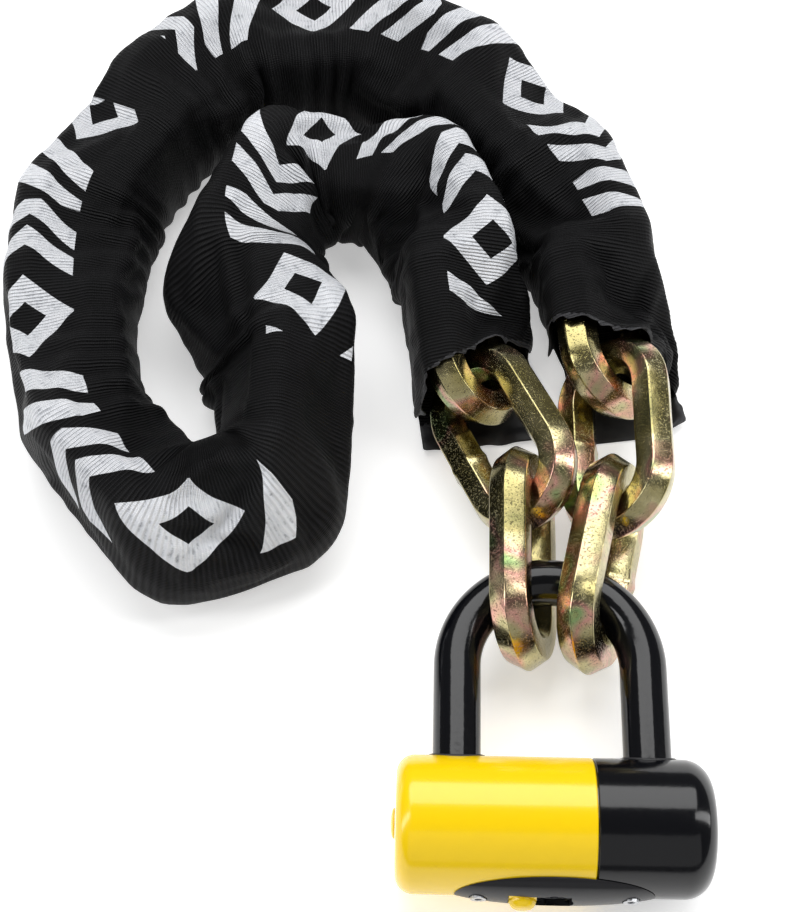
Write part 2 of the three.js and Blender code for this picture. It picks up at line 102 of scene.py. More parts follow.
LINK_COUNT = sum(name.startswith("link_") for name in NODES)
LINKS = [LinkFrame(f"link_{i + 1:02d}") for i in range(LINK_COUNT)]
FIRST_INSIDE, LAST_INSIDE = 2, LINK_COUNT - 3


# ---- mesh helpers --------------------------------------------------------------------------------
def mesh_object(name, points, faces):
    mesh = bpy.data.meshes.new(name)
    mesh.from_pydata([tuple(p) for p in points], [], [tuple(f) for f in faces])
    mesh.validate()
    made = bpy.data.objects.new(name, mesh)
    bpy.context.scene.collection.objects.link(made)
    return made


def grid_faces(rows, columns, closed_rows=False):
    """Quads between rows of points; each row closes on itself, and the last row may join the first."""
    faces = []
    for k in range(rows if closed_rows else rows - 1):
        for j in range(columns):
            after = (k + 1) % rows
            right = (j + 1) % columns
            here, there = k * columns, after * columns
            faces.append((here + j, here + right, there + right, there + j))
    return faces


def outward(obj):
    """Turns every face of a closed mesh outwards."""
    work = bmesh.new()
    work.from_mesh(obj.data)
    bmesh.ops.remove_doubles(work, verts=work.verts, dist=1e-7)
    bmesh.ops.recalc_face_normals(work, faces=work.faces)
    if work.calc_volume(signed=True) < 0:
        bmesh.ops.reverse_faces(work, faces=work.faces)
    work.to_mesh(obj.data)
    work.free()
    return obj


def apply_modifiers(obj):
    evaluated = obj.evaluated_get(bpy.context.evaluated_depsgraph_get())
    mesh = bpy.data.meshes.new_from_object(evaluated)
    obj.modifiers.clear()
    obj.data = mesh
    return obj


def smooth(obj, angle=40):
    obj.data.polygons.foreach_set("use_smooth", [True] * len(obj.data.polygons))
    obj.data.set_sharp_from_angle(angle=math.radians(angle))
    return obj


def cut(obj, *tools):
    for tool in tools:
        step = obj.modifiers.new("cut", "BOOLEAN")
        step.operation = "DIFFERENCE"
        step.solver = "EXACT"
        step.object = tool
    bpy.context.view_layer.update()
    apply_modifiers(obj)
    for tool in tools:
        bpy.data.objects.remove(tool)
    return obj


def bevelled(obj, width, segments=3, angle=35):
    step = obj.modifiers.new("bevel", "BEVEL")
    step.width = width
    step.segments = segments
    step.limit_method = "ANGLE"
    step.angle_limit = math.radians(angle)
    step.use_clamp_overlap = True
    return apply_modifiers(obj)


def lathe(name, profile, origin, axis, sides=96):
    """Turns a profile of (along, radius) points about an axis. A profile starts and ends on the axis,
    or is a closed outline away from it."""
    axis = Vector(axis).normalized()
    first = axis.orthogonal().normalized()
    second = axis.cross(first)
    points = []
    for along, radius in profile:
        for j in range(sides):
            angle = TURN * j / sides
            arm = first * math.cos(angle) + second * math.sin(angle)
            points.append(Vector(origin) + axis * along + arm * radius)
    touches_axis = profile[0][1] < 1e-9
    return outward(mesh_object(name, points, grid_faces(len(profile), sides, not touches_axis)))


def round_bar(name, radius, start, end, sides=64):
    run = Vector(end) - Vector(start)
    return lathe(name, [(0, 0), (0, radius), (run.length, radius), (run.length, 0)], start, run, sides)


def arc(centre, radius, start, end, steps):
    """Points of an arc in a profile, with angles in degrees."""
    turns = [math.radians(start + (end - start) * i / steps) for i in range(steps + 1)]
    return [(centre[0] + radius * math.cos(t), centre[1] + radius * math.sin(t)) for t in turns]


def dressed(obj, look, body, slot, *nodes):
    """Gives a finished piece its material, its body and the CAD nodes that it stands for."""
    obj.data.materials.clear()
    obj.data.materials.append(look)
    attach(obj, body)
    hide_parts(*nodes)


# ---- materials -----------------------------------------------------------------------------------
class Look:
    """A node material with one Principled shader and short calls for its texture nodes."""

    def __init__(self, name, color, roughness, metallic=0.0, **sockets):
        self.material = bpy.data.materials.new(name)
        self.material.use_nodes = True
        self.tree = self.material.node_tree
        self.shader = self.tree.nodes["Principled BSDF"]
        self.shader.inputs["Base Color"].default_value = (*color, 1)
        self.shader.inputs["Roughness"].default_value = roughness
        self.shader.inputs["Metallic"].default_value = metallic
        for socket, value in sockets.items():
            self.shader.inputs[socket.replace("_", " ")].default_value = value

    def node(self, kind, **settings):
        made = self.tree.nodes.new(kind)
        for key, value in settings.items():
            setattr(made, key, value)
        return made

    def feed(self, target, value):
        if isinstance(value, bpy.types.NodeSocket):
            self.tree.links.new(value, target)
        else:
            target.default_value = value

    def math(self, operation, a, b=0.0):
        made = self.node("ShaderNodeMath", operation=operation)
        self.feed(made.inputs[0], a)
        self.feed(made.inputs[1], b)
        return made.outputs[0]

    def place(self):
        return self.node("ShaderNodeTexCoord").outputs["Object"]

    def noise(self, scale, detail=3.0, roughness=0.5, where=None):
        made = self.node("ShaderNodeTexNoise")
        made.inputs["Scale"].default_value = scale
        made.inputs["Detail"].default_value = detail
        made.inputs["Roughness"].default_value = roughness
        self.feed(made.inputs["Vector"], where or self.place())
        return made.outputs["Fac"]

    def ramp(self, value, *stops):
        made = self.node("ShaderNodeValToRGB")
        self.feed(made.inputs["Fac"], value)
        elements = made.color_ramp.elements
        while len(elements) < len(stops):
            elements.new(0.5)
        for element, (position, color) in zip(elements, stops):
            element.position = position
            element.color = (*color, 1) if len(color) == 3 else (color[0],) * 3 + (1,)
        return made.outputs["Color"]

    def mix(self, share, a, b):
        made = self.node("ShaderNodeMix", data_type="RGBA")
        self.feed(made.inputs["Factor"], share)
        for socket, value in ((made.inputs[6], a), (made.inputs[7], b)):
            self.feed(socket, value if isinstance(value, bpy.types.NodeSocket) else (*value, 1))
        return made.outputs[2]

    def bump(self, height, distance, strength=1.0, under=None):
        made = self.node("ShaderNodeBump")
        made.inputs["Distance"].default_value = distance
        made.inputs["Strength"].default_value = strength
        self.feed(made.inputs["Height"], height)
        if under:
            self.feed(made.inputs["Normal"], under)
        return made.outputs["Normal"]

    def colored(self, color):
        self.feed(self.shader.inputs["Base Color"], color)

    def rough(self, value):
        self.feed(self.shader.inputs["Roughness"], value)

    def normal(self, value):
        self.feed(self.shader.inputs["Normal"], value)


def zinc_look():
    """Yellow zinc chromate: olive gold with pink and green bloom, mirror-like between dull patches."""
    look = Look("zinc_chromate", (0.6, 0.52, 0.3), 0.2, 1.0)
    broad = look.noise(42, 2.0)
    tints = look.ramp(
        broad,
        (0.28, (0.17, 0.16, 0.07)),
        (0.40, (0.37, 0.32, 0.14)),
        (0.50, (0.56, 0.50, 0.28)),
        (0.57, (0.64, 0.34, 0.28)),
        (0.64, (0.28, 0.42, 0.18)),
        (0.74, (0.58, 0.38, 0.12)),
    )
    stain = look.ramp(look.noise(150, 5.0, 0.65), (0.38, (0.0,)), (0.62, (1.0,)))
    stained = look.mix(look.math("MULTIPLY", stain, 0.4), tints, (0.24, 0.21, 0.09))
    specks = look.ramp(look.noise(1500, 3.0, 0.6), (0.58, (0.0,)), (0.66, (1.0,)))
    look.colored(look.mix(look.math("MULTIPLY", specks, 0.6), stained, (0.07, 0.06, 0.03)))
    patches = look.noise(95, 4.0, 0.6)
    look.rough(look.math("ADD", look.math("MULTIPLY", patches, 0.24), 0.06))
    dents = look.bump(look.noise(70, 2.0), 0.0006, 0.5)
    grain = look.bump(look.noise(700, 3.0, 0.6), 0.00006, 0.6, dents)
    look.normal(look.bump(look.math("MULTIPLY", specks, -1.0), 0.00006, 0.7, grain))
    return look.material


def steel_look(name, color, roughness):
    look = Look(name, color, roughness, 1.0)
    streaks = look.noise(900, 3.0)
    look.rough(look.math("ADD", look.math("MULTIPLY", streaks, 0.2), roughness - 0.08))
    look.normal(look.bump(streaks, 0.00003, 0.5))
    return look.material


def gloss_look(name, color, roughness, orange_peel, coat=0.25, specular=0.5):
    """Moulded or dipped plastic: an even colour, faint orange peel and fine dust-like roughness."""
    look = Look(
        name, color, roughness, 0.0, Coat_Weight=coat, Coat_Roughness=0.06, Specular_IOR_Level=specular,
    )
    mottle = look.noise(260, 3.0)
    shade = tuple(c * 0.82 for c in color)
    look.colored(look.mix(look.math("MULTIPLY", mottle, 0.3), color, shade))
    look.rough(look.math("ADD", look.math("MULTIPLY", look.noise(1400, 4.0), 0.12), roughness - 0.05))
    look.normal(look.bump(look.noise(330, 2.0), orange_peel, 0.5))
    return look.material


def rubber_look():
    look = Look("seal_rubber", (0.012, 0.012, 0.014), 0.55)
    look.normal(look.bump(look.noise(2500, 3.0), 0.00005, 0.7))
    look.rough(look.math("ADD", look.math("MULTIPLY", look.noise(500), 0.25), 0.42))
    return look.material


# The sleeve's print is three bands of plain shapes along it: (start, end) as shares of its length.
PRINT_BANDS = ((0.085, 0.34), (0.375, 0.63), (0.685, 0.955))
PRINT_HALF_HEIGHT = 16.5 * MM
PRINT_PERIOD = 96 * MM
RIB_PITCH = 1.25 * MM
SLEEVE_SLACK = 1.10  # flat length over the length of the laid centreline
FLAP_BEYOND = 17 * MM  # how far the lower flap reaches past the upper lip


def print_mask(look, run, side, share):
    """White shapes: slanted bars, chevrons and a holed diamond, repeated along each band."""
    u = look.math("MODULO", run, PRINT_PERIOD)
    height = look.math("ABSOLUTE", side)

    def within(value, centre, half):
        return look.math("LESS_THAN", look.math("ABSOLUTE", look.math("SUBTRACT", value, centre)), half)

    slanted = look.math("ADD", u, look.math("MULTIPLY", side, 0.45))
    pointed = look.math("SUBTRACT", u, look.math("MULTIPLY", height, 0.8))
    shapes = [
        within(pointed, 2 * MM, 4.2 * MM),
        within(pointed, 15.5 * MM, 4.2 * MM),
        within(slanted, 75 * MM, 4.2 * MM),
        within(slanted, 88 * MM, 3.6 * MM),
    ]
    spread = look.math("ADD", look.math("ABSOLUTE", look.math("SUBTRACT", u, 48 * MM)), height)
    shapes.append(within(spread, 12 * MM, 5 * MM))
    mask = shapes[0]
    for shape in shapes[1:]:
        mask = look.math("MAXIMUM", mask, shape)
    mask = look.math("MULTIPLY", mask, look.math("LESS_THAN", height, PRINT_HALF_HEIGHT))
    inside = 0.0
    for start, end in PRINT_BANDS:
        inside = look.math("ADD", within(share, (start + end) / 2, (end - start) / 2), inside)
    return look.math("MULTIPLY", mask, inside)


def fabric_look(name, length, girth):
    """Ribbed black nylon. Its UV map holds the run along the sleeve and the way round it, both in
    metres, with the print's centre line at the middle of the way round. Its second map holds the
    distance to the nearest lip."""
    look = Look(name, (0.006, 0.006, 0.007), 0.6, 0.0, Specular_IOR_Level=0.16)
    uv = look.node("ShaderNodeUVMap", uv_map="flat")
    split = look.node("ShaderNodeSeparateXYZ")
    look.feed(split.inputs[0], uv.outputs["UV"])
    run, way = split.outputs[0], split.outputs[1]
    waver = look.math("MULTIPLY", look.noise(55, 2.0), 0.9 * MM)
    ribs = look.math("SINE", look.math("MULTIPLY", look.math("ADD", run, waver), TURN / RIB_PITCH))
    threads = look.math("SINE", look.math("MULTIPLY", way, TURN / (0.55 * MM)))
    weave = look.math("ADD", ribs, look.math("MULTIPLY", threads, 0.25))
    worn = look.math("MULTIPLY", look.noise(60, 4.0, 0.6), 0.5)
    # The colour is lighter on the rib crests and darker in the grooves between them, from the same rib
    # pattern as the bump: painted shade. The noise on top adds random wear.
    light = look.math("ADD", look.math("MULTIPLY", weave, 0.22), worn)
    cloth = look.ramp(light, (0.0, (0.0006, 0.0006, 0.0008)), (0.7, (0.014, 0.014, 0.0155)))
    roughness = look.math("ADD", look.math("MULTIPLY", worn, 0.3), 0.5)
    side = look.math("SUBTRACT", way, girth / 2)
    mask = print_mask(look, run, side, look.math("DIVIDE", run, length))
    ink = look.ramp(
        look.math("ADD", look.math("MULTIPLY", ribs, 0.08), look.noise(240, 4.0, 0.7)),
        (0.22, (0.30, 0.31, 0.34)),
        (0.42, (0.78, 0.80, 0.84)),
        (0.75, (0.86, 0.87, 0.90)),
    )
    lip = look.node("ShaderNodeSeparateXYZ")
    look.feed(lip.inputs[0], look.node("ShaderNodeUVMap", uv_map="lip").outputs["UV"])
    frayed = look.math("SUBTRACT", lip.outputs[0], look.math("MULTIPLY", look.noise(700, 2.0), 2.2 * MM))
    hem = look.math("LESS_THAN", frayed, 0.1 * MM)
    color = look.mix(look.math("MULTIPLY", hem, 0.8), look.mix(mask, cloth, ink), (0.075, 0.075, 0.08))
    roughness = look.math("SUBTRACT", roughness, look.math("MULTIPLY", mask, 0.18))
    look.colored(color)
    look.rough(roughness)
    fuzz = look.bump(look.noise(900, 3.0, 0.6), 0.00012, 0.5)
    look.normal(look.bump(weave, 0.0003, 1.0, fuzz))
    return look.material


def flap_look():
    """The smooth inner layer that shows as a flap at each mouth."""
    look = Look("flap_lining", (0.022, 0.022, 0.024), 0.5, 0.0, Specular_IOR_Level=0.35)
    crease_bumps_and_shade = look.noise(120, 3.0, 0.6)
    # The colour is darker in the hollows of the crease bumps and lighter on their ridges: painted shade.
    look.colored(look.ramp(crease_bumps_and_shade, (0.3, (0.013, 0.013, 0.015)), (0.7, (0.030, 0.030, 0.033))))
    look.normal(look.bump(look.noise(2600, 2.0), 0.00005, 0.6, look.bump(crease_bumps_and_shade, 0.0005, 0.4)))
    return look.material


ZINC = zinc_look()
STEEL = steel_look("machined_steel", (0.56, 0.57, 0.59), 0.3)
BRASS = steel_look("brass", (0.70, 0.52, 0.22), 0.3)
VINYL = gloss_look("black_vinyl", (0.002, 0.0022, 0.0035), 0.12, 0.00010, 0.1, 0.38)
YELLOW = gloss_look("yellow_plastic", (1.0, 0.67, 0.0), 0.2, 0.00005)
BLACK = gloss_look("black_plastic", (0.002, 0.0022, 0.0035), 0.14, 0.00006, 0.1, 0.38)
PLATE_BLACK = gloss_look("plate_plastic", (0.005, 0.005, 0.007), 0.32, 0.00008, 0.05, 0.4)
RUBBER = rubber_look()


# ---- camera, lights, floor -----------------------------------------------------------------------
def make_camera():
    """Looks down at the lock from the front at 62 degrees, turned 1.2 degrees, about 0.58 m away."""
    look_at = Vector((-48.6, 124.3, 22.0)) * MM
    pitch, turn, distance = math.radians(62), math.radians(1.2), 0.5833
    forward = Vector((
        -math.sin(turn) * math.cos(pitch), math.cos(turn) * math.cos(pitch), -math.sin(pitch),
    ))
    camera = bpy.data.cameras.new("camera")
    camera.lens = 69.1
    camera.clip_start = 0.01
    holder = bpy.data.objects.new("camera", camera)
    holder.location = look_at - forward * distance
    holder.rotation_euler = forward.to_track_quat("-Z", "Y").to_euler()
    bpy.context.scene.collection.objects.link(holder)
    bpy.context.scene.camera = holder


def area_light(name, place, aim, width, height, power):
    lamp = bpy.data.lights.new(name, "AREA")
    lamp.shape = "RECTANGLE"
    lamp.size = width
    lamp.size_y = height
    lamp.energy = power
    holder = bpy.data.objects.new(name, lamp)
    holder.location = place
    holder.rotation_euler = (Vector(aim) - Vector(place)).to_track_quat("-Z", "Y").to_euler()
    bpy.context.scene.collection.objects.link(holder)


FLOOR_REACH = 25
FLOOR_DROP = 0.0003  # below the ground that the chain lies on


def make_studio():
    """White paper under two strips, an overhead light and a weak one from the front."""
    area_light("overhead", (-0.05, 0.85, 1.15), (-0.03, 0.08, 0), 1.6, 1.0, 18)
    area_light("left_strip", (-1.0, -0.1, 0.75), (0, 0.1, 0), 0.25, 1.4, 5.5)
    area_light("right_strip", (0.9, 0.15, 0.7), (0, 0.1, 0), 0.25, 1.4, 5.5)
    area_light("front_fill", (0.1, -1.3, 1.0), (0, 0.1, 0), 2.6, 1.6, 6)
    world = bpy.data.worlds.new("studio")
    world.use_nodes = True
    world.node_tree.nodes["Background"].inputs["Color"].default_value = (1, 1, 1, 1)
    world.node_tree.nodes["Background"].inputs["Strength"].default_value = 0.14
    bpy.context.scene.world = world
    bpy.context.scene.view_settings.view_transform = "Standard"
    reach = FLOOR_REACH
    corners = [(-reach, -reach, 0), (reach, -reach, 0), (reach, reach, 0), (-reach, reach, 0)]
    floor = mesh_object("floor", corners, [(0, 1, 2, 3)])
    floor.location.z = -FLOOR_DROP
    look = Look("floor_paper", (0.93, 0.93, 0.93), 0.7, Emission_Color=(1, 1, 1, 1), Emission_Strength=0.42)
    look.normal(look.bump(look.noise(40), 0.0002, 0.2))
    floor.data.materials.append(look.material)


make_camera()
make_studio()


# ---- chain links ---------------------------------------------------------------------------------
def hex_section(radius, rounding):
    """Outline of a hexagonal bar with rounded corners, one corner pointing away from the ring's middle."""
    flat = radius * math.cos(math.pi / 6)
    points = []
    for corner in range(6):
        towards = corner * math.pi / 3
        for turn in (-0.5, -0.25, 0, 0.25, 0.5):
            angle = turn * math.pi / 3
            inner = (flat - rounding) / math.cos(math.pi / 6)
            points.append((
                inner * math.cos(towards) + rounding * math.cos(towards + angle),
                inner * math.sin(towards) + rounding * math.sin(towards + angle),
            ))
    return points


EDGE_ROUNDING = 0.9 * MM
BEND_STEPS = 28  # round each end of a link
WELD_REACH = 1.7 * MM  # along the bar, to each side of the weld
WELD_RISE = 0.08  # how much thicker the bar is there, as a share of its radius
BEND_THINNING, BEND_SPREAD = 0.03, 0.02  # how the bar's section changes at the middle of a bend


def fine_link(number, weld_side):
    """A bent hexagonal bar with softened edges, slightly flattened bends and a weld ring on one side."""
    link = LINKS[number - 1]
    bar = link.bar / math.cos(math.pi / 6)
    bend = link.half_width - bar
    straight = link.half_length - link.half_width
    section = hex_section(bar, EDGE_ROUNDING)
    along, normal = Vector(link.along), Vector(link.normal)
    across = normal.cross(along)
    centre = Vector(link.centre)
    path = []
    for end in (1, -1):
        for i in range(BEND_STEPS + 1):
            angle = math.radians(-90 + 180 * i / BEND_STEPS)
            out = along * (end * math.cos(angle)) + across * (end * math.sin(angle))
            path.append((centre + along * (end * straight) + out * bend, out, abs(math.cos(angle))))
        for i in range(1, 24):
            here = centre + across * (end * bend) + along * (end * straight * (1 - i / 12))
            path.append((here, across * end, 0.0))
    points = []
    for place, out, bending in path:
        from_weld = (place - centre - across * (weld_side * bend)).dot(along)
        on_side = (place - centre).dot(across) * weld_side > 0
        ridge = math.exp(-((from_weld / WELD_REACH) ** 2)) if on_side and bending == 0 else 0.0
        for radial, up in section:
            grow = 1 + WELD_RISE * ridge
            wide = radial * grow * (1 - BEND_THINNING * bending)
            points.append(place + out * wide + normal * (up * grow * (1 + BEND_SPREAD * bending)))
    made = mesh_object(f"hex_link_{number:02d}", points, grid_faces(len(path), len(section), True))
    return smooth(outward(made), 50)


for number, body, weld in (
    (1, "right_hook_link", -1), (2, "right_mouth_link", 1), (LINK_COUNT - 1, "left_mouth_link", 1),
    (LINK_COUNT, "left_hook_link", -1), (3, "link_03", 1), (LINK_COUNT - 2, f"link_{LINK_COUNT - 2:02d}", 1),
):
    dressed(fine_link(number, weld), ZINC, body, "zinc_steel", f"link_{number:02d}")


# ---- sleeve --------------------------------------------------------------------------------------
SLEEVE_GIRTH = 148 * MM
MOUTH_BEYOND = (15 * MM, 23 * MM)  # right and left upper lip, past the last link's end bend centre
LIP_SLANT = 10 * MM
FOLD_PITCH = 13 * MM  # between the small folds round the sleeve
STAND_OFF = 0.7 * MM  # added between the fabric and the links, which rock a little inside it
FOLD_DEPTH = 0.8 * MM  # where nothing is crowded
GATHER_DEPTH = 9 * MM  # times the crowding, from 0 to 0.5
CLOTH_ABOVE_GROUND = 0.6 * MM
UNDER_SLEEVE = 0.8 * MM  # under the tube before it falls
FLAP_EDGE = math.radians(126)  # from the top round to the flap, past the lips
SLIT_PLACE = math.radians(120)
SLIT_HALF_WIDTH = math.radians(8)
SLIT_DEPTH = 5 * MM
RING_POINTS = 56
STATION_STEP = 2.0 * MM
CLOTH_WALL = 0.7 * MM
ROUTE_SOFTENING = 60  # smoothing passes over the route's points, about 0.9 mm apart
SIM_SCALE = 10.0
SIM_FRAMES = 36


def smooth_curve(points, count):
    """Evenly spaced points on a centripetal curve through the given ones, and their tangents."""
    points = np.array(points)
    padded = np.vstack([2 * points[0] - points[1], points, 2 * points[-1] - points[-2]])
    fine = []
    for i in range(1, len(padded) - 2):
        p0, p1, p2, p3 = padded[i - 1:i + 3]
        for t in np.linspace(0, 1, 24, endpoint=False):
            fine.append(0.5 * (2 * p1 + (p2 - p0) * t + (2 * p0 - 5 * p1 + 4 * p2 - p3) * t ** 2
                               + (3 * p1 - p0 - 3 * p2 + p3) * t ** 3))
    fine = np.array(fine + [padded[-2]])
    for _ in range(ROUTE_SOFTENING):
        fine[1:-1] = (fine[:-2] + 2 * fine[1:-1] + fine[2:]) / 4
    steps = np.r_[0, np.cumsum(np.linalg.norm(np.diff(fine, axis=0), axis=1))]
    stations = np.linspace(0, steps[-1], count)
    laid = np.stack([np.interp(stations, steps, fine[:, axis]) for axis in range(3)], 1)
    tangents = np.gradient(laid, axis=0)
    return laid, tangents / np.linalg.norm(tangents, axis=1)[:, None], steps[-1]


def sleeve_route():
    """The centreline of the sleeved run: through the middle of each link and each joint."""
    inside = LINKS[FIRST_INSIDE:LAST_INSIDE + 1]
    route = []
    for i, link in enumerate(inside):
        towards = inside[min(i + 1, len(inside) - 1)].centre - inside[max(i - 1, 0)].centre
        run = link.along * np.sign(link.along @ towards)
        reach = link.half_length - link.half_width
        bend = link.half_width - link.bar
        if i == 0:
            route.append(link.centre - run * (reach + MOUTH_BEYOND[0] + FLAP_BEYOND))
            route.append(link.centre - run * (reach + MOUTH_BEYOND[0] * 0.5))
        route.append(link.centre)
        if i == len(inside) - 1:
            route.append(link.centre + run * (reach + MOUTH_BEYOND[1] * 0.5))
            route.append(link.centre + run * (reach + MOUTH_BEYOND[1] + FLAP_BEYOND))
        else:
            following = inside[i + 1]
            onward = following.along * np.sign(following.along @ towards)
            before = following.centre - onward * reach
            route.append((link.centre + run * reach + before) / 2)
    return np.array(route) * (1, 1, 0)


def twist_of(share):
    """How far the print's centre line leans from the top towards the outside of the loop."""
    return math.radians(np.interp(
        share, (0, 0.1, 0.3, 0.42, 0.62, 0.74, 0.80, 0.86, 1), (38, 38, 26, 34, 34, 30, 5, -28, -32)
    ))


def sleeve_grid(stations, radius, height):
    """Rings of points round the laid centreline, each starting opposite the print's centre line."""
    laid, tangents, length = smooth_curve(sleeve_route(), stations)
    rings = []
    for k in range(stations):
        right = np.array([tangents[k][1], -tangents[k][0], 0])
        right /= np.linalg.norm(right)
        lean = twist_of(k / (stations - 1))
        for j in range(RING_POINTS):
            angle = TURN * j / RING_POINTS - math.pi + lean
            rings.append(laid[k] + right * radius * math.sin(angle)
                         + np.array([0, 0, height + radius * math.cos(angle)]))
    return np.array(rings), length


def past_lip(station, column, stations, length):
    """How far inside the upper lip a place on the grid is, in metres, and its angle from the top. The
    lips slant: they reach further on the side away from the other mouth."""
    from_end = min(station, stations - 1 - station) * length / (stations - 1)
    lean = twist_of(station / (stations - 1))
    angle = (TURN * column / RING_POINTS + lean) % TURN - math.pi
    return from_end - FLAP_BEYOND + LIP_SLANT * math.sin(angle), abs(angle)


def sleeve_faces(stations, length):
    """Quads of the tube. Past each upper lip only the lower flap is left, and a slit parts them."""
    faces = []
    for k in range(stations - 1):
        for j in range(RING_POINTS):
            inside, from_top = past_lip(k + 0.5, j + 0.5, stations, length)
            if inside < 0 and from_top < FLAP_EDGE:
                continue
            if inside < SLIT_DEPTH and abs(from_top - SLIT_PLACE) < SLIT_HALF_WIDTH:
                continue
            right = (j + 1) % RING_POINTS
            faces.append((k * RING_POINTS + j, k * RING_POINTS + right,
                          (k + 1) * RING_POINTS + right, (k + 1) * RING_POINTS + j))
    return faces


def packed(points, faces):
    """Drops the points that no face uses, and says which were kept."""
    used = sorted({i for face in faces for i in face})
    number = {old: new for new, old in enumerate(used)}
    return points[used], [tuple(number[i] for i in face) for face in faces], np.array(used)


def collider(name, points, faces, thickness):
    made = mesh_object(name, points, faces)
    made.modifiers.new("collision", "COLLISION")
    made.collision.thickness_outer = thickness
    made.collision.cloth_friction = 12
    return made


def simulate(start, rest, faces):
    """Lets the fabric fall onto the links and the floor. Its rest shape is the straight sleeve, so what
    is spare on the inside of each bend gathers. It runs at ten times the size, for the solver."""
    scene = bpy.context.scene
    cloth = mesh_object("falling_cloth", start * SIM_SCALE, faces)
    cloth.shape_key_add(name="laid")
    flat = cloth.shape_key_add(name="cut")
    flat.data.foreach_set("co", (rest * SIM_SCALE).ravel())
    helpers = [cloth]
    for i in range(FIRST_INSIDE - 1, LAST_INSIDE + 2):
        link = NODES[f"link_{i + 1:02d}"].data
        shape = np.array([v.co for v in link.vertices]) * SIM_SCALE
        helpers.append(collider(f"collider_{i}", shape, [p.vertices for p in link.polygons], 0.006))
    ground = [(-9, -9, 0), (9, -9, 0), (9, 9, 0), (-9, 9, 0)]
    helpers.append(collider("ground", ground, [(0, 1, 2, 3)], 0.004))
    fall = cloth.modifiers.new("cloth", "CLOTH")
    settings = fall.settings
    settings.quality = 7
    settings.mass = 0.35
    settings.air_damping = 4
    settings.tension_stiffness = 30
    settings.compression_stiffness = 30
    settings.shear_stiffness = 8
    settings.bending_stiffness = 0.35
    settings.tension_damping = 12
    settings.compression_damping = 12
    settings.shear_damping = 8
    settings.bending_damping = 0.8
    settings.rest_shape_key = flat
    fall.collision_settings.distance_min = 0.012
    fall.collision_settings.collision_quality = 3
    fall.collision_settings.use_self_collision = False
    fall.point_cache.frame_end = SIM_FRAMES
    for number in range(1, SIM_FRAMES + 1):
        scene.frame_set(number)
    shown = cloth.evaluated_get(bpy.context.evaluated_depsgraph_get())
    settled = np.array([v.co for v in shown.data.vertices]) / SIM_SCALE
    for helper in helpers:
        bpy.data.objects.remove(helper)
    scene.frame_set(1)
    return settled


def gathered(points, used, faces, stations, flat_length):
    """Adds the small folds round the sleeve, deepest where the fabric is most crowded, and a little room
    round the links. Nothing ends up below the ground."""
    grid = np.full((stations * RING_POINTS, 3), np.nan)
    grid[used] = points
    grid = grid.reshape(stations, RING_POINTS, 3)
    step = flat_length / (stations - 1)
    crowding = 1 - np.linalg.norm(np.roll(grid, -2, 0) - np.roll(grid, 2, 0), axis=2) / (4 * step)
    crowding = np.clip(np.nan_to_num(crowding), 0, 0.5)
    for _ in range(3):
        for axis in (0, 1):
            crowding = (np.roll(crowding, 1, axis) + 2 * crowding + np.roll(crowding, -1, axis)) / 4
    centres = np.nanmean(grid, axis=1)
    shape = mesh_object("shape", points, faces)
    folded = points.copy()
    for i, (place, spot) in enumerate(zip(points, used)):
        station, column = divmod(int(spot), RING_POINTS)
        run, way = station * step, column * SLEEVE_GIRTH / RING_POINTS
        normal = np.array(shape.data.vertices[i].normal)
        normal *= np.sign(normal @ (place - centres[station])) or 1
        drift = 5.0 * noise.noise(Vector(place) * 26) + 1.6 * noise.noise(Vector(place) * 75)
        fold = 0.5 + 0.5 * math.sin(TURN * run / FOLD_PITCH + drift)
        patch = max(0.0, 0.55 + noise.noise(Vector(place) * 40 + Vector((3, 0, 0))))
        depth = FOLD_DEPTH + GATHER_DEPTH * crowding[station, column]
        folded[i] += normal * (STAND_OFF + depth * patch * fold ** 2)
    bpy.data.objects.remove(shape)
    folded[:, 2] = np.maximum(folded[:, 2], CLOTH_ABOVE_GROUND)
    return folded


def make_sleeve():
    route_length = smooth_curve(sleeve_route(), 50)[2]
    stations = int(route_length / STATION_STEP)
    radius = SLEEVE_GIRTH / TURN
    rings, length = sleeve_grid(stations, radius, radius + UNDER_SLEEVE)
    flat_length = length * SLEEVE_SLACK
    runs = np.repeat(np.linspace(0, flat_length, stations), RING_POINTS)
    turns = np.tile(np.arange(RING_POINTS) * TURN / RING_POINTS, stations)
    rest = np.stack([runs, -radius * np.sin(turns), -radius * np.cos(turns)], 1)
    all_faces = sleeve_faces(stations, length)
    points, faces, used = packed(rings, all_faces)
    points = simulate(points, rest[used], faces)
    points = gathered(points, used, faces, stations, flat_length)
    sleeve = mesh_object("fabric_sleeve", points, faces)
    sleeve.data.materials.append(fabric_look("sleeve_fabric", flat_length, SLEEVE_GIRTH))
    sleeve.data.materials.append(flap_look())
    flat = sleeve.data.uv_layers.new(name="flat")
    lip = sleeve.data.uv_layers.new(name="lip")
    for polygon in sleeve.data.polygons:
        spots = [used[v] for v in polygon.vertices]
        inside = [past_lip(*divmod(spot, RING_POINTS), stations, length)[0] for spot in spots]
        polygon.material_index = int(sum(inside) < 0)
        for loop, distance in zip(polygon.loop_indices, inside):
            lip.data[loop].uv = (distance, 0)
        columns = [spot % RING_POINTS for spot in spots]
        for loop, spot, column in zip(polygon.loop_indices, spots, columns):
            wrapped = column == 0 and max(columns) == RING_POINTS - 1
            way = RING_POINTS if wrapped else column
            run = spot // RING_POINTS * flat_length / (stations - 1)
            flat.data[loop].uv = (run, way * SLEEVE_GIRTH / RING_POINTS)
    wall = sleeve.modifiers.new("wall", "SOLIDIFY")
    wall.thickness = CLOTH_WALL
    wall.offset = 0.6
    soft = sleeve.modifiers.new("soft", "SUBSURF")
    soft.levels = soft.render_levels = 1
    apply_modifiers(sleeve)
    smooth(sleeve, 80)
    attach(sleeve, "sleeve")
    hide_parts("sleeve")


make_sleeve()


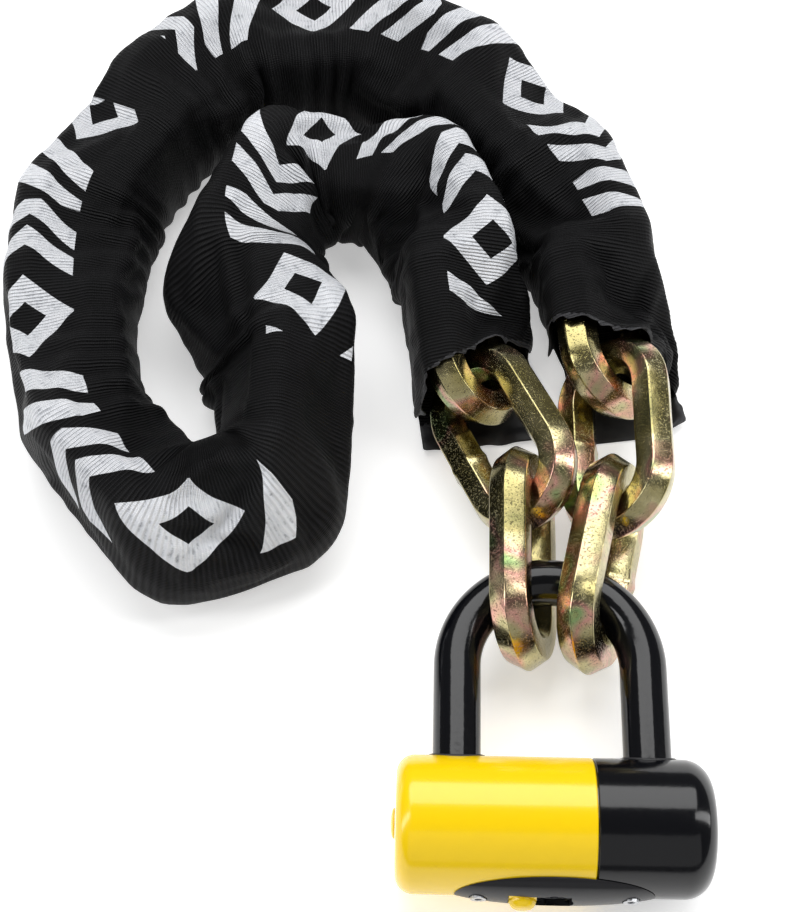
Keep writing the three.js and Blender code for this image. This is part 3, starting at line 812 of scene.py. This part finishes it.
# ---- shackle -------------------------------------------------------------------------------------
LEG_END_TAPER = 1.2 * MM
SHACKLE_SIDES = 56
BOLT_ROOM = 0.3 * MM  # round the bolts in the legs' notches
NOTCH_BEYOND = 4 * MM  # how far the notches reach past the bolts


def make_shackle():
    """The bent round bar, with a notch for a bolt in the inner side of each leg."""
    route = []
    for y in np.linspace(LEG_END_Y, CROWN_CENTRE_Y, 18):
        route.append((Vector((-LEG_X, y, SHACKLE_Z)), Vector((1, 0, 0))))
    for i in range(1, 64):
        angle = math.pi * (1 - i / 64)
        out = Vector((math.cos(angle), math.sin(angle), 0))
        route.append((Vector((0, CROWN_CENTRE_Y, SHACKLE_Z)) + out * LEG_X, -out))
    for y in np.linspace(CROWN_CENTRE_Y, LEG_END_Y, 18):
        route.append((Vector((LEG_X, y, SHACKLE_Z)), Vector((-1, 0, 0))))
    radii = [BAR_RADIUS] * len(route)
    radii[0] = radii[-1] = BAR_RADIUS - LEG_END_TAPER
    points = []
    for (place, side), radius in zip(route, radii):
        for j in range(SHACKLE_SIDES):
            angle = TURN * j / SHACKLE_SIDES
            rise = Vector((0, 0, radius * math.sin(angle)))
            points.append(place + side * (radius * math.cos(angle)) + rise)
    faces = grid_faces(len(route), SHACKLE_SIDES)
    faces.append(tuple(range(SHACKLE_SIDES)))
    faces.append(tuple(range(len(points) - SHACKLE_SIDES, len(points))))
    shackle = outward(mesh_object("coated_shackle", points, faces))
    notch_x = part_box("bolt_right")[1].x + NOTCH_BEYOND
    notch = round_bar(
        "notch", BOLT_RADIUS + BOLT_ROOM, (-notch_x, BOLT_Y, BODY_AXIS_Z), (notch_x, BOLT_Y, BODY_AXIS_Z),
    )
    cut(shackle, notch)
    smooth(shackle, 35)
    dressed(shackle, VINYL, "shackle", "black_vinyl", "shackle")


make_shackle()


# ---- barrel covers -------------------------------------------------------------------------------
COVER_WALL = 2.4 * MM
YELLOW_ROUNDING = 5.5 * MM
BLACK_ROUNDING = 8.5 * MM
RIM_CHAMFER = 0.35 * MM
SEAM = 0.12 * MM  # half the gap between the two covers
HOLE_ROOM = 0.3 * MM  # round the cylinder housing
SEAL_ROOM = 0.1 * MM  # round the seals


def cover_profile(length, rounding):
    """Outside and inside of a cap of this length, from the end face to the open rim."""
    outer = [(0, 0), (0, 5 * MM), (0, BODY_RADIUS - rounding)]
    outer += arc((rounding, BODY_RADIUS - rounding), rounding, 180, 90, 12)[1:]
    outer += [
        (length * 0.5, BODY_RADIUS),
        (length - RIM_CHAMFER, BODY_RADIUS),
        (length, BODY_RADIUS - RIM_CHAMFER),
    ]
    inner_rounding = rounding - COVER_WALL
    inside = BODY_RADIUS - COVER_WALL
    inner = [(length, inside), (length * 0.5, inside)]
    inner += arc((rounding, inside - inner_rounding), inner_rounding, 90, 180, 8)
    inner += [(COVER_WALL, 5 * MM), (COVER_WALL, 0)]
    return outer + inner


def make_cover(name, node, end, split, rounding, look, slot):
    facing = 1 if split > end else -1
    profile = cover_profile(abs(split - end), rounding)
    shell = lathe(name, profile, (end, 0, BODY_AXIS_Z), (facing, 0, 0), 128)
    leg_x = -facing * LEG_X
    leg = round_bar(
        "leg_hole", SEAL_RADIUS + SEAL_ROOM, (leg_x, 5 * MM, SHACKLE_Z), (leg_x, 35 * MM, SHACKLE_Z),
    )
    holes = [leg]
    if facing > 0:
        reach = size("cylinder_housing").x / 2 + HOLE_ROOM
        start, stop = (0, -35 * MM, BODY_AXIS_Z), (0, -5 * MM, BODY_AXIS_Z)
        holes.append(round_bar("cylinder_hole", reach, start, stop))
    cut(shell, *holes)
    smooth(bevelled(shell, 0.25 * MM, 2, 50), 35)
    dressed(shell, look, "lock_body", slot, node)


make_cover(
    "yellow_barrel", "yellow_cover", BODY_LEFT, SPLIT_X - SEAM, YELLOW_ROUNDING, YELLOW, "yellow_plastic",
)
make_cover(
    "black_barrel", "black_cover", BODY_RIGHT, SPLIT_X + SEAM, BLACK_ROUNDING, BLACK, "black_plastic",
)

SEAL_BORE_ROOM = 0.12 * MM  # round the leg
SEAL_PROUD = 0.35 * MM  # above the barrel


def make_seals():
    """A rubber ring round each leg, cut to stand a little proud of the barrel all the way round."""
    bore = BAR_RADIUS + SEAL_BORE_ROOM
    outside = BODY_RADIUS + SEAL_PROUD
    for side, x in (("left", -LEG_X), ("right", LEG_X)):
        depth = BODY_RADIUS + 2 * MM - SEAL_BOTTOM_Y
        profile = [(0, bore), (0, SEAL_RADIUS), (depth, SEAL_RADIUS), (depth, bore)]
        ring = lathe(f"seal_ring_{side}", profile, (x, SEAL_BOTTOM_Y, SHACKLE_Z), (0, 1, 0), 96)
        shell = [(0, outside), (0, 0.05), (0.14, 0.05), (0.14, outside)]
        cut(ring, lathe("outside", shell, (-0.07, 0, BODY_AXIS_Z), (1, 0, 0), 128))
        smooth(bevelled(ring, 0.15 * MM, 2, 40), 40)
        dressed(ring, RUBBER, "lock_body", "black_rubber", f"shackle_seal_{side}")


make_seals()


def make_end_button():
    """The shallow domed plug in the yellow end face."""
    low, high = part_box("end_plug")
    radius, depth = (high.z - low.z) / 2, high.x - low.x
    profile = [(0, 0), (0, radius), (depth * 0.12, radius)]
    for i in range(1, 15):
        turn = math.radians(90 * i / 15)
        profile.append((depth * (0.12 + 0.7 * math.sin(turn)), radius * math.cos(turn)))
    profile.append((depth * 0.82, 0))
    button = lathe("end_button", profile, (high.x, 0, BODY_AXIS_Z), (-1, 0, 0), 64)
    smooth(button, 50)
    dressed(button, YELLOW, "lock_body", "yellow_plastic", "end_plug")


make_end_button()


# ---- key side ------------------------------------------------------------------------------------
PLATE_EDGE_DEPTH = 8 * MM  # from the plate's face to the back of its edge, inside the barrel
GROOVE_DEPTH = 0.12 * MM
GROOVE_STEP = 36  # of the dome's 40, from the middle to the edge
SLIDER_TRAVEL = 9.5 * MM
SLIDER_ROOM = 0.2 * MM
SLOT_END_ROOM = 0.6 * MM
SLOT_DEPTH = 1.9 * MM
KEY_WINDOW_RADIUS = 5.5 * MM
HOUSING_SEAT_RADIUS = 7.3 * MM
HOUSING_SEAT_DEPTH = 2.4 * MM
SCREW_HOLE_RADIUS = 2.7 * MM
GRIP_HALF_HEIGHT = 3.8 * MM
TONGUE_SUNK = 0.9 * MM  # below the plate's face


def oval_stack(name, layers, sides=128):
    """Ovals across Y from (y, half width, half height) layers, closed at both ends."""
    points, faces = [], []
    for y, half_width, half_height in layers:
        for j in range(sides):
            angle = TURN * j / sides
            points.append((half_width * math.cos(angle), y, BODY_AXIS_Z + half_height * math.sin(angle)))
    faces = grid_faces(len(layers), sides)
    faces.append(tuple(range(sides)))
    faces.append(tuple(range(len(points) - sides, len(points))))
    return outward(mesh_object(name, points, faces))


def block(name, low, high):
    x0, y0, z0 = low
    x1, y1, z1 = high
    points = [(x, y, z) for x in (x0, x1) for y in (y0, y1) for z in (z0, z1)]
    faces = [(0, 1, 3, 2), (4, 6, 7, 5), (0, 4, 5, 1), (2, 3, 7, 6), (0, 2, 6, 4), (1, 5, 7, 3)]
    return outward(mesh_object(name, points, faces))


def make_key_plate():
    """A long low dome on the barrel, with a fine groove a little way in from its edge."""
    front = PLATE_FACE_Y
    layers = []
    for i in range(41):
        turn = math.radians(2 + 88 * i / 40)
        groove = GROOVE_DEPTH if i == GROOVE_STEP else 0.0
        layers.append((front + PLATE_DOME.y * (1 - math.cos(turn)) + groove,
                       PLATE_DOME.x * math.sin(turn), PLATE_DOME.z * math.sin(turn)))
    layers.append((front + PLATE_EDGE_DEPTH, PLATE_DOME.x, PLATE_DOME.z))
    plate = oval_stack("key_plate_moulding", layers)
    tongue_low, tongue_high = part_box("keyhole_slider")
    slot_end = tongue_high.x + SLIDER_TRAVEL + SLOT_END_ROOM
    slot = block(
        "slot",
        (tongue_low.x - SLIDER_ROOM, front - 1 * MM, tongue_low.z - SLIDER_ROOM),
        (slot_end, front + SLOT_DEPTH, tongue_high.z + SLIDER_ROOM),
    )
    seat_y = front + HOUSING_SEAT_DEPTH
    tools = [
        round_bar("barrel", BODY_RADIUS + 0.2 * MM, (-0.06, 0, BODY_AXIS_Z), (0.06, 0, BODY_AXIS_Z), 128),
        slot,
        round_bar("window", KEY_WINDOW_RADIUS, (0, -0.03, BODY_AXIS_Z), (0, -0.01, BODY_AXIS_Z)),
        round_bar("seat", HOUSING_SEAT_RADIUS, (0, seat_y, BODY_AXIS_Z), (0, -0.01, BODY_AXIS_Z)),
    ]
    for screw in ("plate_screw_left", "plate_screw_right"):
        x = middle(screw).x
        start, stop = (x, -0.03, BODY_AXIS_Z), (x, -0.01, BODY_AXIS_Z)
        tools.append(round_bar("hole", SCREW_HOLE_RADIUS, start, stop))
    cut(plate, *tools)
    smooth(bevelled(plate, 0.2 * MM, 2, 50), 35)
    dressed(plate, PLATE_BLACK, "lock_body", "black_plastic", "key_plate")


make_key_plate()


def make_slider():
    """The keyhole cover: a flat tongue, sunk in the plate, with a smooth domed grip."""
    low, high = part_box("keyhole_slider")
    centre_x = (low.x + high.x) / 2
    sunk = PLATE_FACE_Y + TONGUE_SUNK
    tongue = block("slider_grip", (low.x, sunk, low.z), (high.x, high.y, high.z))
    half_width = (high.x - low.x) / 2 - 0.1 * MM
    layers = [(sunk + 0.3 * MM, half_width, GRIP_HALF_HEIGHT)]
    for i in range(12):
        turn = math.radians(90 * i / 12)
        shrink = 0.45 + 0.55 * math.cos(turn)
        layers.append((
            sunk + (low.y - sunk) * math.sin(turn), half_width * shrink, GRIP_HALF_HEIGHT * shrink,
        ))
    grip = oval_stack("grip", layers, 64)
    grip.location.x = centre_x
    fuse = tongue.modifiers.new("fuse", "BOOLEAN")
    fuse.operation = "UNION"
    fuse.solver = "EXACT"
    fuse.object = grip
    bpy.context.view_layer.update()
    apply_modifiers(tongue)
    bpy.data.objects.remove(grip)
    smooth(bevelled(tongue, 0.15 * MM, 2, 40), 35)
    dressed(tongue, YELLOW, "keyhole_slider", "yellow_plastic", "keyhole_slider")


make_slider()


# ---- CAD pieces that keep their shape ------------------------------------------------------------
SLOT_LOOKS = {"zinc_steel": ZINC, "hardened_steel": STEEL, "brass": BRASS, "black_plastic": BLACK}


def finish_cad_nodes():
    slots = {row["node"]: row["material_slot"] for row in frame["record"]["subparts"]}
    for name, node in NODES.items():
        if node.hide_render:
            continue
        node.data.materials.clear()
        node.data.materials.append(SLOT_LOOKS.get(slots.get(name), STEEL))
        edge = node.modifiers.new("edge", "BEVEL")
        edge.width = 0.2 * MM
        edge.segments = 2
        edge.limit_method = "ANGLE"
        edge.angle_limit = math.radians(50)


finish_cad_nodes()
